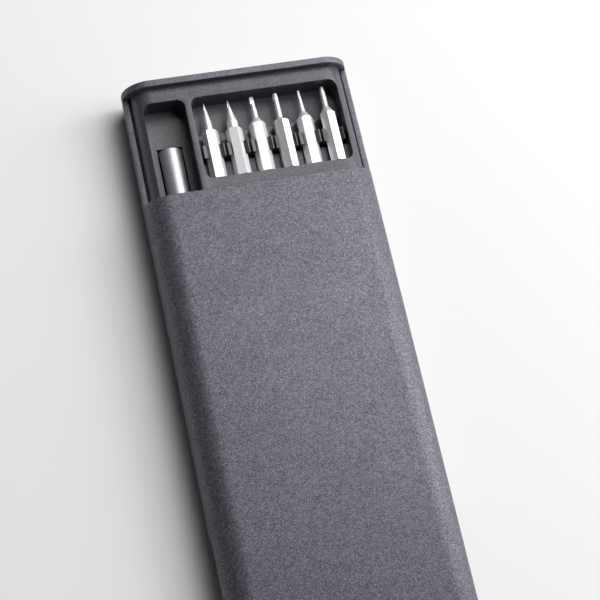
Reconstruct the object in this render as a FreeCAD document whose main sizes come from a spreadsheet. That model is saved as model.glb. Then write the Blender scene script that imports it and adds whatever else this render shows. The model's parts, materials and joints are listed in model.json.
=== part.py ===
"""Pocket precision screwdriver set: a flat case with a sliding cover, 24 bits and a pen-sized driver.

Millimetres. The case lies on its back: +Z is the face with the sliding cover, +Y is the capped end and
+X is across the case. Pieces are drawn with Y = 0 on the outer face of the end cap and Z = 0 on the
surface that the case lies on, and each Placement then centres the open set on the origin.
"""
import FreeCAD, Part
import math
import os

import Sketcher
from FreeCAD import Rotation, Vector

SIZES = {
    # the case
    "case_width": 63.0,
    "case_depth": 15.2,
    "case_round": 7.3,
    "end_cap_thick": 1.9,
    "end_wall": 1.9,
    "edge_round": 0.35,
    "cover_wall": 1.5,
    "cover_gap": 0.25,
    "cover_open": 31.7,
    "shell_wall": 1.5,
    "ledge_height": 8.9,
    "slide_gap": 0.08,
    "lip_reach": 0.9,
    "lip_thick": 0.8,
    "lip_gap": 0.2,
    "peg_width": 3.0,
    "peg_reach": 2.6,
    "peg_spread": 50.0,
    # the four rows of bits
    "row_count": 4,
    "row_start": 6.1,
    "tray_tail": 6.4,
    "row_rib": 4.45,
    "row_side_gap": 1.57,
    "side_wall": 4.5,
    "corner_round": 2.2,
    "floor_drop": 6.5,
    "floor_length": 10.6,
    "recess_drop": 10.4,
    "cradle_length": 5.9,
    "cradle_drop": 4.2,
    "trough_gap": 0.1,
    # the bits
    "bit_count": 6,
    "bit_across_flats": 4.0,
    "bit_length": 22.6,
    "bit_front_gap": 0.8,
    "bit_back_gap": 0.6,
    "bit_drop": 3.25,
    "shank_length": 14.6,
    "shoulder_length": 1.2,
    "neck_radius": 1.5,
    "neck_flare": 1.02,
    "tip_length": 2.2,
    # the tips, as shares of the tip's own radius
    "cross_point_share": 0.4,
    "cross_blade_share": 0.55,
    "flat_blade_share": 0.45,
    "fork_gap_share": 0.8,
    "nut_hole_share": 0.78,
    "flute_share": 0.3,
    "flute_reach_share": 1.08,
    # the clip strips
    "clip_length": 6.8,
    "clip_bar_thick": 1.6,
    "clip_web_thick": 2.9,
    "clip_lip_length": 1.7,
    "clip_lip_thick": 0.35,
    "clip_fit_gap": 0.1,
    "clip_leg_length": 3.8,
    "clip_leg_thick": 0.7,
    "clip_leg_gap": 0.06,
    "clip_leg_above": 0.9,
    # the driver and its channel
    "bay_side": 1.2,
    "bay_rib": 1.6,
    "driver_start": 18.2,
    "driver_end_gap": 1.2,
    "driver_back_gap": 3.85,
    "nose_radius": 3.05,
    "nose_length": 23.8,
    "nose_trough_gap": 0.45,
    "spigot_radius": 2.5,
    "spigot_length": 6.0,
    "socket_depth": 12.0,
    "socket_gap": 0.1,
    "magnet_radius": 1.6,
    "magnet_length": 1.5,
    "barrel_radius": 4.2,
    "barrel_trough_gap": 0.3,
    "bearing_thick": 0.6,
    "bearing_radius": 3.4,
    "bearing_gap": 0.05,
    "tail_length": 9.0,
    "pin_radius": 1.0,
    "pin_head_radius": 2.0,
    "pin_head_length": 1.4,
    "pin_depth": 5.0,
    "pin_gap": 0.06,
    # the screws that hold the tray in the shell
    "screw_radius": 0.8,
    "screw_head_radius": 1.6,
    "screw_head_drop": 0.9,
    "screw_length": 4.2,
    "screw_spread": 36.0,
}

# name, tip shape, distance across the tip, roll of the shank about its length
BITS = [
    [
        ("bit_cross_00", "cross", 1.5, 0),
        ("bit_cross_0", "cross", 2.0, -12),
        ("bit_slotted_1_5", "blade", 1.5, -6),
        ("bit_star_6", "star", 1.7, 30),
        ("bit_cross_000", "cross", 1.1, 0),
        ("bit_star_5", "star", 1.45, 18),
    ],
    [
        ("bit_cross_1", "cross", 2.6, 0),
        ("bit_slotted_2_0", "blade", 2.0, 0),
        ("bit_slotted_3_0", "blade", 2.8, 0),
        ("bit_star_2", "star", 1.0, 0),
        ("bit_star_3", "star", 1.2, 0),
        ("bit_star_4", "star", 1.35, 0),
    ],
    [
        ("bit_star_8", "star", 2.3, 0),
        ("bit_star_10", "star", 2.7, 0),
        ("bit_hex_0_9", "hexagon", 1.1, 0),
        ("bit_hex_1_3", "hexagon", 1.5, 0),
        ("bit_hex_1_5", "hexagon", 1.75, 0),
        ("bit_hex_2_0", "hexagon", 2.3, 0),
    ],
    [
        ("bit_five_lobe_0_8", "lobes", 0.9, 0),
        ("bit_five_lobe_1_2", "lobes", 1.25, 0),
        ("bit_three_wing_0", "wings", 1.4, 0),
        ("bit_triangle_2_3", "triangle", 2.3, 0),
        ("bit_fork_2_6", "fork", 2.6, 0),
        ("bit_nut_socket_2_5", "socket", 3.4, 0),
    ],
]

CORNER_RADIUS = "(dims.bit_across_flats / (2 * cos(30 deg)))"
TRAY_TOP = "(dims.case_depth - dims.cover_wall - dims.cover_gap)"
BIT_Z = f"({TRAY_TOP} - dims.bit_drop)"
DRIVER_Z = f"({TRAY_TOP} - dims.floor_drop)"

# along the case, measured from the outer face of the end cap
ROW_LENGTH = "(dims.bit_front_gap + dims.bit_length + dims.bit_back_gap)"
ROW_PITCH = f"({ROW_LENGTH} + dims.row_rib)"
ROWS_END = f"(dims.row_start + (dims.row_count - 1) * {ROW_PITCH} + {ROW_LENGTH})"
TRAY_END = f"({ROWS_END} + dims.tray_tail)"
COVER_END = f"({TRAY_END} + dims.cover_gap)"
CASE_LENGTH = f"({COVER_END} + dims.end_wall)"
INNER_LENGTH = f"({COVER_END} - dims.end_cap_thick)"
CASE_Y = f"({CASE_LENGTH} + dims.cover_open) / 2"
NOSE_END = "(dims.driver_start + dims.nose_length)"
TAIL_END = f"({ROWS_END} - dims.driver_back_gap)"
TAIL_START = f"({TAIL_END} - dims.tail_length)"
BARREL_END = f"({TAIL_START} - dims.bearing_thick)"
BARREL_LENGTH = f"({BARREL_END} - {NOSE_END})"

# across the case
TRAY_INSET = "(dims.cover_wall + dims.cover_gap)"
BAY_WIDTH = "(2 * (dims.barrel_radius + dims.barrel_trough_gap + dims.bay_side))"
ROW_WIDTH = f"(dims.case_width - 2 * dims.side_wall - {BAY_WIDTH} - dims.bay_rib)"
DRIVER_X = f"(dims.side_wall + {BAY_WIDTH} / 2 - dims.case_width / 2)"
ROW_X = f"(dims.case_width / 2 - dims.side_wall - {ROW_WIDTH} / 2)"
BIT_PITCH = f"(({ROW_WIDTH} - 2 * dims.row_side_gap - 2 * {CORNER_RADIUS}) / (dims.bit_count - 1))"
SCREW_PLACES = [
    (f"{side} * dims.screw_spread / 2", along)
    for side in (-1, 1)
    for along in ("(dims.end_cap_thick + dims.row_start) / 2", f"({ROWS_END} + {TRAY_END}) / 2")
]

doc = FreeCAD.newDocument("PrecisionScrewdriverSet")
dims = doc.addObject("Spreadsheet::Sheet", "dims")


def fill_sheet():
    """Write every size, and the distance across each bit's tip, into an aliased cell."""
    tips = {name + "_tip": across for row in BITS for name, _, across, _ in row}
    for line, (alias, value) in enumerate({**SIZES, **tips}.items(), start=1):
        dims.set(f"A{line}", alias)
        dims.set(f"B{line}", str(value))
        dims.setAlias(f"B{line}", alias)
    doc.recompute()


def size(expression):
    """The present value of an expression over the sheet."""
    value = dims.evalExpression(expression)
    return float(getattr(value, "Value", value))


# ---- sketches and features of the bodies ----


def new_body(label, y=CASE_Y):
    body = doc.addObject("PartDesign::Body", label)
    body.Label = label
    body.setExpression("Placement.Base.y", y)
    return body


def new_sketch(body, plane, offset):
    """A sketch parallel to an origin plane; on XZ_Plane the offset runs along -Y."""
    planes = {feature.Role: feature for feature in body.Origin.OriginFeatures}
    sketch = body.newObject("Sketcher::SketchObject", body.Name + "_sketch")
    sketch.AttachmentSupport = [(planes[plane], "")]
    sketch.MapMode = "FlatFace"
    sketch.setExpression("AttachmentOffset.Base.z", offset)
    return sketch


def bind(sketch, kind, ends, expression):
    """Add one driven dimension to a sketch."""
    index = sketch.addConstraint(Sketcher.Constraint(kind, *ends, size(expression)))
    sketch.renameConstraint(index, f"size{index}")
    sketch.setExpression(f"Constraints.size{index}", expression)


def add_box(sketch, left, right, low, high):
    """Add a rectangle to a sketch; its sides are expressions measured from the origin."""
    x0, x1, y0, y1 = (size(side) for side in (left, right, low, high))
    corners = [Vector(x0, y0), Vector(x1, y0), Vector(x1, y1), Vector(x0, y1)]
    first = sketch.GeometryCount
    for index in range(4):
        sketch.addGeometry(Part.LineSegment(corners[index], corners[(index + 1) % 4]))
    for index in range(4):
        ends = (first + index, 2, first + (index + 1) % 4, 1)
        sketch.addConstraint(Sketcher.Constraint("Coincident", *ends))
        direction = "Horizontal" if index % 2 == 0 else "Vertical"
        sketch.addConstraint(Sketcher.Constraint(direction, first + index))
    bind(sketch, "DistanceX", (-1, 1, first, 1), left)
    bind(sketch, "DistanceX", (-1, 1, first, 2), right)
    bind(sketch, "DistanceY", (-1, 1, first, 1), low)
    bind(sketch, "DistanceY", (-1, 1, first + 2, 1), high)


def add_rounded_box(sketch, left, right, low, high, radius):
    """Add a rectangle with rounded corners to a sketch."""
    x0, x1, y0, y1, r = (size(side) for side in (left, right, low, high, radius))
    centres = [Vector(x1 - r, y0 + r), Vector(x1 - r, y1 - r), Vector(x0 + r, y1 - r), Vector(x0 + r, y0 + r)]
    starts = [Vector(x0 + r, y0), Vector(x1, y0 + r), Vector(x1 - r, y1), Vector(x0, y1 - r)]
    ends = [Vector(x1 - r, y0), Vector(x1, y1 - r), Vector(x0 + r, y1), Vector(x0, y0 + r)]
    first = sketch.GeometryCount
    for index in range(4):
        sketch.addGeometry(Part.LineSegment(starts[index], ends[index]))
        circle = Part.Circle(centres[index], Vector(0, 0, 1), r)
        sketch.addGeometry(Part.ArcOfCircle(circle, (index - 1) * math.pi / 2, index * math.pi / 2))
    for index in range(4):
        line, arc, following = first + 2 * index, first + 2 * index + 1, first + 2 * ((index + 1) % 4)
        sketch.addConstraint(Sketcher.Constraint("Tangent", line, 2, arc, 1))
        sketch.addConstraint(Sketcher.Constraint("Tangent", arc, 2, following, 1))
        if index:
            sketch.addConstraint(Sketcher.Constraint("Equal", first + 1, arc))
    sketch.addConstraint(Sketcher.Constraint("Horizontal", first))
    sketch.addConstraint(Sketcher.Constraint("Vertical", first + 2))
    bind(sketch, "Radius", (first + 1,), radius)
    bind(sketch, "DistanceX", (-1, 1, first + 2, 1), right)
    bind(sketch, "DistanceX", (-1, 1, first + 6, 1), left)
    bind(sketch, "DistanceY", (-1, 1, first, 1), low)
    bind(sketch, "DistanceY", (-1, 1, first + 4, 1), high)


def add_circle(sketch, across, up, radius):
    circle = Part.Circle(Vector(size(across), size(up)), Vector(0, 0, 1), size(radius))
    index = sketch.addGeometry(circle)
    bind(sketch, "DistanceX", (-1, 1, index, 3), across)
    bind(sketch, "DistanceY", (-1, 1, index, 3), up)
    bind(sketch, "Radius", (index,), radius)


def pad(body, sketch, length):
    feature = body.newObject("PartDesign::Pad", body.Name + "_pad")
    feature.Profile = sketch
    feature.setExpression("Length", length)
    doc.recompute()
    return feature


def pocket(body, sketch, depth, along_normal=False):
    """Cut a sketch into the body, and make sure that it took something away."""
    doc.recompute()
    before = body.Shape.Volume
    feature = body.newObject("PartDesign::Pocket", body.Name + "_pocket")
    feature.Profile = sketch
    feature.Reversed = along_normal
    feature.setExpression("Length", depth)
    doc.recompute()
    if not body.Shape.Volume < before:
        raise RuntimeError(f"{feature.Name} cuts nothing")
    return feature


def repeat(body, features, axis, spacing, count, reverse=False):
    """Repeat features of a body along one of its origin axes."""
    axes = {feature.Role: feature for feature in body.Origin.OriginFeatures}
    pattern = body.newObject("PartDesign::LinearPattern", body.Name + "_row")
    pattern.Originals = features
    pattern.Direction = (axes[axis], [""])
    pattern.Reversed = reverse
    pattern.setExpression("Length", f"{spacing} * ({count} - 1)")
    pattern.setExpression("Occurrences", count)
    body.Tip = pattern
    doc.recompute()
    return pattern


def add_section(sketch, inset, radius):
    """Add the case's rounded cross-section, drawn in by an inset."""
    add_rounded_box(
        sketch,
        f"-dims.case_width / 2 + {inset}",
        f"dims.case_width / 2 - {inset}",
        inset,
        f"dims.case_depth - {inset}",
        radius,
    )


# ---- the case ----


def make_case_shell():
    """The lower half of the case: a shallow trough with one closed end."""
    body = new_body("case_shell")
    outside = new_sketch(body, "XZ_Plane", "dims.end_cap_thick")
    add_section(outside, "0.0", "dims.case_round")
    pad(body, outside, f"{CASE_LENGTH} - dims.end_cap_thick")
    upper = new_sketch(body, "XZ_Plane", "dims.end_cap_thick")
    add_box(upper, "-dims.case_width", "dims.case_width", "dims.ledge_height", "2 * dims.case_depth")
    pocket(body, upper, CASE_LENGTH, along_normal=True)
    inside = new_sketch(body, "XZ_Plane", "dims.end_cap_thick")
    add_section(inside, "dims.shell_wall", "dims.case_round - dims.shell_wall")
    pocket(body, inside, INNER_LENGTH, along_normal=True)
    screws = new_sketch(body, "XY_Plane", "0.0")
    add_screw_circles(screws, "dims.screw_radius")
    pocket(body, screws, "dims.shell_wall", along_normal=True)
    heads = new_sketch(body, "XY_Plane", "0.0")
    add_screw_circles(heads, "dims.screw_head_radius")
    pocket(body, heads, "dims.screw_head_drop", along_normal=True)


def add_screw_circles(sketch, radius):
    for across, along in SCREW_PLACES:
        add_circle(sketch, across, f"-{along}", radius)


def make_tray_screws():
    """Four screws, their heads flush, through the shell's floor into the tray, kept as one group."""
    screws = []
    for across, along in SCREW_PLACES:
        head = cylinder("screw_head", "dims.screw_head_radius", "dims.screw_head_drop", "0.0")
        shaft = cylinder("screw_shaft", "dims.screw_radius", "dims.screw_length", "dims.screw_head_drop")
        screw = fuse(f"tray_screw_{len(screws) + 1}", [head, shaft])
        screw.setExpression("Placement.Base.x", across)
        screw.setExpression("Placement.Base.y", f"{CASE_Y} - {along}")
        screws.append(screw)
    group = doc.addObject("Part::Compound", "tray_screws")
    group.Label = "tray_screws"
    group.Links = screws


def make_end_cap():
    """The fixed cap over the end of the case, pegged into the tray."""
    body = new_body("end_cap")
    plate = new_sketch(body, "XZ_Plane", "0.0")
    add_section(plate, "0.0", "dims.case_round")
    block = pad(body, plate, "dims.end_cap_thick")
    faces = block.Shape.Faces
    outer = max(range(len(faces)), key=lambda index: faces[index].CenterOfMass.y)
    rim = body.newObject("PartDesign::Fillet", "end_cap_rim")
    rim.Base = (block, [f"Face{outer + 1}"])
    rim.setExpression("Radius", "dims.edge_round")
    doc.recompute()
    pegs = new_sketch(body, "XZ_Plane", "dims.end_cap_thick")
    add_pegs(pegs, "dims.peg_width / 2")
    pad(body, pegs, "dims.peg_reach")


def add_pegs(sketch, radius):
    for side in (-1, 1):
        add_circle(sketch, f"{side} * dims.peg_spread / 2", DRIVER_Z, radius)


def make_bit_tray():
    """The moulded tray that fills the shell: four rows for the bits and one long bay for the driver."""
    body = new_body("bit_tray")
    block = new_sketch(body, "XZ_Plane", "dims.end_cap_thick")
    add_rounded_box(
        block,
        f"-dims.case_width / 2 + {TRAY_INSET}",
        f"dims.case_width / 2 - {TRAY_INSET}",
        "dims.shell_wall",
        TRAY_TOP,
        f"dims.case_round - {TRAY_INSET}",
    )
    pad(body, block, f"{TRAY_END} - dims.end_cap_thick")
    cut_slide_grooves(body)
    cut_rows(body)
    cut_driver_bay(body)
    peg_holes = new_sketch(body, "XZ_Plane", "dims.end_cap_thick")
    add_pegs(peg_holes, "dims.peg_width / 2")
    pocket(body, peg_holes, "dims.peg_reach", along_normal=True)
    screw_holes = new_sketch(body, "XY_Plane", "dims.shell_wall")
    add_screw_circles(screw_holes, "dims.screw_radius")
    pocket(body, screw_holes, "dims.screw_head_drop + dims.screw_length - dims.shell_wall", along_normal=True)


def cut_slide_grooves(body):
    """A groove down each side of the tray takes the inward lip of the cover."""
    grooves = new_sketch(body, "XZ_Plane", "dims.end_cap_thick")
    deep = f"(dims.case_width / 2 - dims.cover_wall - dims.lip_reach - dims.lip_gap)"
    top = "dims.ledge_height + dims.slide_gap + dims.lip_thick + dims.lip_gap"
    add_box(grooves, deep, "dims.case_width", "dims.ledge_height", top)
    add_box(grooves, "-dims.case_width", f"-{deep}", "dims.ledge_height", top)
    pocket(body, grooves, CASE_LENGTH, along_normal=True)


def cut_rows(body):
    """Cut the first row's pocket in steps and repeat it down the tray."""
    left = f"{ROW_X} - {ROW_WIDTH} / 2"
    right = f"{ROW_X} + {ROW_WIDTH} / 2"
    front = "-dims.row_start"
    back = f"-(dims.row_start + {ROW_LENGTH})"
    rib = f"-(dims.row_start + {ROW_LENGTH} - dims.cradle_length)"
    step = "-(dims.row_start + dims.floor_length)"
    mouth = new_sketch(body, "XY_Plane", TRAY_TOP)
    add_rounded_box(mouth, left, right, back, front, "dims.corner_round")
    cradle = pocket(body, mouth, "dims.cradle_drop")
    tip_area = new_sketch(body, "XY_Plane", TRAY_TOP)
    add_rounded_box(tip_area, left, right, rib, front, "dims.corner_round")
    tip_floor = pocket(body, tip_area, "dims.floor_drop")
    recess_area = new_sketch(body, "XY_Plane", TRAY_TOP)
    add_box(recess_area, left, right, rib, step)
    recess = pocket(body, recess_area, "dims.recess_drop")
    shanks = new_sketch(body, "XZ_Plane", f"dims.row_start + {ROW_LENGTH} - dims.cradle_length")
    for index in range(int(size("dims.bit_count"))):
        add_circle(shanks, bit_x(index), BIT_Z, f"{CORNER_RADIUS} + dims.trough_gap")
    troughs = pocket(body, shanks, "dims.cradle_length", along_normal=True)
    repeat(body, [cradle, tip_floor, recess, troughs], "Y_Axis", ROW_PITCH, "dims.row_count", reverse=True)


def cut_driver_bay(body):
    """One long bay beside the rows, with a round trough for the nose and a wider one for the barrel."""
    bay = new_sketch(body, "XY_Plane", TRAY_TOP)
    left = f"{DRIVER_X} - {BAY_WIDTH} / 2"
    right = f"{DRIVER_X} + {BAY_WIDTH} / 2"
    add_rounded_box(bay, left, right, f"-{ROWS_END}", "-dims.row_start", "dims.corner_round")
    pocket(body, bay, "dims.floor_drop")
    nose = new_sketch(body, "XZ_Plane", "dims.driver_start - dims.driver_end_gap")
    add_circle(nose, DRIVER_X, DRIVER_Z, "dims.nose_radius + dims.nose_trough_gap")
    pocket(body, nose, "dims.nose_length + dims.driver_end_gap", along_normal=True)
    barrel = new_sketch(body, "XZ_Plane", f"{NOSE_END} - dims.driver_end_gap")
    add_circle(barrel, DRIVER_X, DRIVER_Z, "dims.barrel_radius + dims.barrel_trough_gap")
    pocket(body, barrel, f"{TAIL_END} - {NOSE_END} + 2 * dims.driver_end_gap", along_normal=True)


def make_sliding_cover():
    """The upper half of the case: a channel whose inward lips run in the tray's grooves."""
    start = "dims.end_cap_thick"
    body = new_body("sliding_cover", f"{CASE_Y} - dims.cover_open")
    outside = new_sketch(body, "XZ_Plane", start)
    add_section(outside, "0.0", "dims.case_round")
    pad(body, outside, INNER_LENGTH)
    inside = new_sketch(body, "XZ_Plane", start)
    add_section(inside, "dims.cover_wall", "dims.case_round - dims.cover_wall")
    pocket(body, inside, CASE_LENGTH, along_normal=True)
    cut_lower_half(body, start)
    lips = new_sketch(body, "XZ_Plane", start)
    low = "dims.ledge_height + dims.slide_gap"
    near = "(dims.case_width / 2 - dims.cover_wall - dims.lip_reach)"
    far = "(dims.case_width / 2 - dims.cover_wall / 2)"
    add_box(lips, near, far, low, f"{low} + dims.lip_thick")
    add_box(lips, f"-{far}", f"-{near}", low, f"{low} + dims.lip_thick")
    pad(body, lips, INNER_LENGTH)


def make_cover_end_wall():
    """The wall that closes the far end of the cover."""
    start = COVER_END
    body = new_body("cover_end_wall", f"{CASE_Y} - dims.cover_open")
    plate = new_sketch(body, "XZ_Plane", start)
    add_section(plate, "0.0", "dims.case_round")
    pad(body, plate, "dims.end_wall")
    cut_lower_half(body, start)


def cut_lower_half(body, start):
    lower = new_sketch(body, "XZ_Plane", start)
    low = "dims.ledge_height + dims.slide_gap"
    add_box(lower, "-dims.case_width", "dims.case_width", "-dims.case_depth", low)
    pocket(body, lower, CASE_LENGTH, along_normal=True)


# ---- the rows of bits ----


def bit_x(index):
    return f"({ROW_X} + ({index} - (dims.bit_count - 1) / 2) * {BIT_PITCH})"


def row_y(row):
    """Where a row's front edge lies, measured from the end cap's outer face."""
    return f"(dims.row_start + {row} * {ROW_PITCH})"


def make_clip_strip(row):
    """A springy strip across one row: a lip on the tray's floor, a bar, and two legs for each bit."""
    body = new_body(f"clip_strip_{row + 1}", f"{CASE_Y} - {row_y(row)}")
    base = f"({TRAY_TOP} - dims.recess_drop)"
    floor = f"({TRAY_TOP} - dims.floor_drop)"
    lip_front = "-(dims.floor_length - dims.clip_lip_length)"
    front = "-(dims.floor_length + dims.clip_fit_gap)"
    web_back = f"({front} - dims.clip_web_thick)"
    back = "-(dims.floor_length + dims.clip_length)"
    left = f"{ROW_X} - {ROW_WIDTH} / 2 + dims.clip_fit_gap"
    right = f"{ROW_X} + {ROW_WIDTH} / 2 - dims.clip_fit_gap"
    bar = new_sketch(body, "XY_Plane", base)
    add_box(bar, left, right, back, front)
    pad(body, bar, "dims.clip_bar_thick")
    web = new_sketch(body, "XY_Plane", base)
    add_box(web, left, right, web_back, front)
    pad(body, web, f"{floor} + dims.clip_lip_thick - {base}")
    lip = new_sketch(body, "XY_Plane", floor)
    add_box(lip, left, right, web_back, lip_front)
    pad(body, lip, "dims.clip_lip_thick")
    legs = new_sketch(body, "XY_Plane", f"{base} + dims.clip_bar_thick")
    inner = f"({CORNER_RADIUS} + dims.clip_leg_gap)"
    outer = f"({inner} + dims.clip_leg_thick)"
    leg_front = f"({back} + dims.clip_leg_length)"
    add_box(legs, f"{bit_x(0)} - {outer}", f"{bit_x(0)} - {inner}", back, leg_front)
    add_box(legs, f"{bit_x(0)} + {inner}", f"{bit_x(0)} + {outer}", back, leg_front)
    height = f"{BIT_Z} + dims.clip_leg_above - ({base} + dims.clip_bar_thick)"
    pair = pad(body, legs, height)
    repeat(body, [pair], "X_Axis", BIT_PITCH, "dims.bit_count")


def place(feature, z):
    feature.setExpression("Placement.Base.z", z)
    return feature


def cylinder(name, radius, height, z):
    feature = doc.addObject("Part::Cylinder", name)
    feature.setExpression("Radius", radius)
    feature.setExpression("Height", height)
    return place(feature, z)


def cone(name, radius_low, radius_high, height, z):
    feature = doc.addObject("Part::Cone", name)
    feature.setExpression("Radius1", radius_low)
    feature.setExpression("Radius2", radius_high)
    feature.setExpression("Height", height)
    return place(feature, z)


def prism(name, sides, radius, height, z):
    feature = doc.addObject("Part::Prism", name)
    feature.Polygon = sides
    feature.setExpression("Circumradius", radius)
    feature.setExpression("Height", height)
    return place(feature, z)


def slab(name, thick, start, end, height, z, turn=0):
    """A box that runs from start to end along a line through the Z axis, turned about the axis."""
    feature = doc.addObject("Part::Box", name)
    feature.setExpression("Length", f"{end} - ({start})")
    feature.setExpression("Width", thick)
    feature.setExpression("Height", height)
    across, along = f"cos({turn} deg)", f"sin({turn} deg)"
    feature.setExpression("Placement.Base.x", f"({start}) * {across} + {thick} / 2 * {along}")
    feature.setExpression("Placement.Base.y", f"({start}) * {along} - {thick} / 2 * {across}")
    feature.Placement.Rotation = Rotation(Vector(0, 0, 1), turn)
    return place(feature, z)


def fuse(name, parts):
    feature = doc.addObject("Part::MultiFuse", name)
    feature.Shapes = parts
    feature.Refine = True
    return feature


def common(name, base, tool):
    feature = doc.addObject("Part::Common", name)
    feature.Base = base
    feature.Tool = tool
    return feature


def cut(name, base, tool):
    feature = doc.addObject("Part::Cut", name)
    feature.Base = base
    feature.Tool = tool
    return feature


def flutes(name, count, radius, height, z):
    """Round cutters spaced about the Z axis that leave lobes between them."""
    cutters = []
    reach = f"{radius} * dims.flute_reach_share"
    for index in range(count):
        turn = 360 * index / count
        cutter = cylinder(name + "_flute", f"{radius} * dims.flute_share", height, z)
        cutter.setExpression("Placement.Base.x", f"{reach} * cos({turn} deg)")
        cutter.setExpression("Placement.Base.y", f"{reach} * sin({turn} deg)")
        cutters.append(cutter)
    return fuse(name + "_flutes", cutters)


def make_tip(name, shape, radius, z):
    """The working end of a bit, standing on the Z axis from z up."""
    height = "dims.tip_length"
    blade = f"{radius} * dims.flat_blade_share"
    if shape in ("hexagon", "triangle"):
        return prism(name + "_tip", {"hexagon": 6, "triangle": 3}[shape], radius, height, z)
    if shape == "cross":
        point = cone(name + "_point", radius, f"{radius} * dims.cross_point_share", height, z)
        wing = f"{radius} * dims.cross_blade_share"
        wings = [slab(name + "_wing", wing, f"-{radius}", radius, height, z, turn) for turn in (0, 90)]
        return common(name + "_tip", point, fuse(name + "_wings", wings))
    round_tip = cylinder(name + "_round", radius, height, z)
    if shape == "blade":
        return common(name + "_tip", round_tip, slab(name + "_blade", blade, f"-{radius}", radius, height, z))
    if shape == "wings":
        start = f"-{blade} / 2"
        wings = [slab(name + "_wing", blade, start, radius, height, z, turn) for turn in (0, 120, 240)]
        return common(name + "_tip", round_tip, fuse(name + "_wings", wings))
    if shape == "fork":
        gap_width = f"{radius} * dims.fork_gap_share"
        gap = slab(name + "_gap", gap_width, f"-2 * {radius}", f"2 * {radius}", height, z)
        return cut(name + "_tip", round_tip, gap)
    if shape == "socket":
        hole = prism(name + "_hole", 6, f"{radius} * dims.nut_hole_share", height, z)
        return cut(name + "_tip", round_tip, hole)
    return cut(name + "_tip", round_tip, flutes(name, {"star": 6, "lobes": 5}[shape], radius, height, z))


def make_bit(row, index, name, shape, roll):
    """One bit: hexagonal shank, shoulder, tapering neck and tip, laid along +Y in its row."""
    radius = f"(dims.{name}_tip / 2)"
    shank = prism(name + "_shank", 6, CORNER_RADIUS, "dims.shank_length", "0.0")
    shoulder = cone(
        name + "_shoulder",
        "dims.bit_across_flats / 2",
        "dims.neck_radius",
        "dims.shoulder_length",
        "dims.shank_length",
    )
    neck_start = "(dims.shank_length + dims.shoulder_length)"
    tip_start = "(dims.bit_length - dims.tip_length)"
    wide = f"max(dims.neck_radius; {radius})" if shape == "socket" else "dims.neck_radius"
    neck_length = f"{tip_start} - {neck_start}"
    neck = cone(name + "_neck", wide, f"{radius} * dims.neck_flare", neck_length, neck_start)
    tip = make_tip(name, shape, radius, tip_start)
    bit = fuse(name, [shank, shoulder, neck, tip])
    bit.Label = name
    lay_down(bit, bit_x(index), f"{row_y(row)} + dims.bit_front_gap + dims.bit_length", BIT_Z, roll)


def lay_down(feature, x, y_from_cap, z, roll=0):
    """Turn a piece that stands on the Z axis so that its top points along +Y, then put it in place."""
    feature.Placement.Rotation = Rotation(Vector(1, 0, 0), -90).multiply(Rotation(Vector(0, 0, 1), roll))
    feature.setExpression("Placement.Base.x", x)
    feature.setExpression("Placement.Base.y", f"{CASE_Y} - ({y_from_cap})")
    feature.setExpression("Placement.Base.z", z)


# ---- the driver ----


def lay_driver_piece(feature, label, end):
    """Put a piece of the driver on its axis, with the piece's foot at a distance from the cap's face."""
    feature.Label = label
    lay_down(feature, DRIVER_X, end, DRIVER_Z)


def make_driver_nose():
    """The smooth front end with the hexagonal socket that takes a bit."""
    body = cylinder("nose_body", "dims.nose_radius", "dims.nose_length", "0.0")
    spigot = cylinder("nose_spigot", "dims.spigot_radius", "dims.spigot_length", "-dims.spigot_length")
    solid = fuse("nose_solid", [body, spigot])
    depth = "dims.socket_depth"
    hole = prism("nose_hole", 6, f"{CORNER_RADIUS} + dims.socket_gap", depth, f"dims.nose_length - {depth}")
    seat_z = f"dims.nose_length - {depth} - dims.magnet_length"
    seat = cylinder("nose_seat", "dims.magnet_radius", "dims.magnet_length", seat_z)
    nose = cut("driver_nose", solid, fuse("nose_cavity", [hole, seat]))
    lay_driver_piece(nose, "driver_nose", NOSE_END)
    magnet = cylinder("socket_magnet", "dims.magnet_radius", "dims.magnet_length", "0.0")
    lay_driver_piece(magnet, "socket_magnet", f"dims.driver_start + {depth} + dims.magnet_length")


def make_driver_barrel():
    """The grip, bored at the front for the nose and at the back for the pin."""
    grip = cylinder("barrel_body", "dims.barrel_radius", BARREL_LENGTH, "0.0")
    front_z = f"{BARREL_LENGTH} - dims.spigot_length"
    front = cylinder("barrel_front_bore", "dims.spigot_radius", "dims.spigot_length", front_z)
    back = cylinder("barrel_back_bore", "dims.pin_radius", "dims.pin_depth", "0.0")
    barrel = cut("driver_barrel", grip, fuse("barrel_bores", [front, back]))
    lay_driver_piece(barrel, "driver_barrel", BARREL_END)


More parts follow.
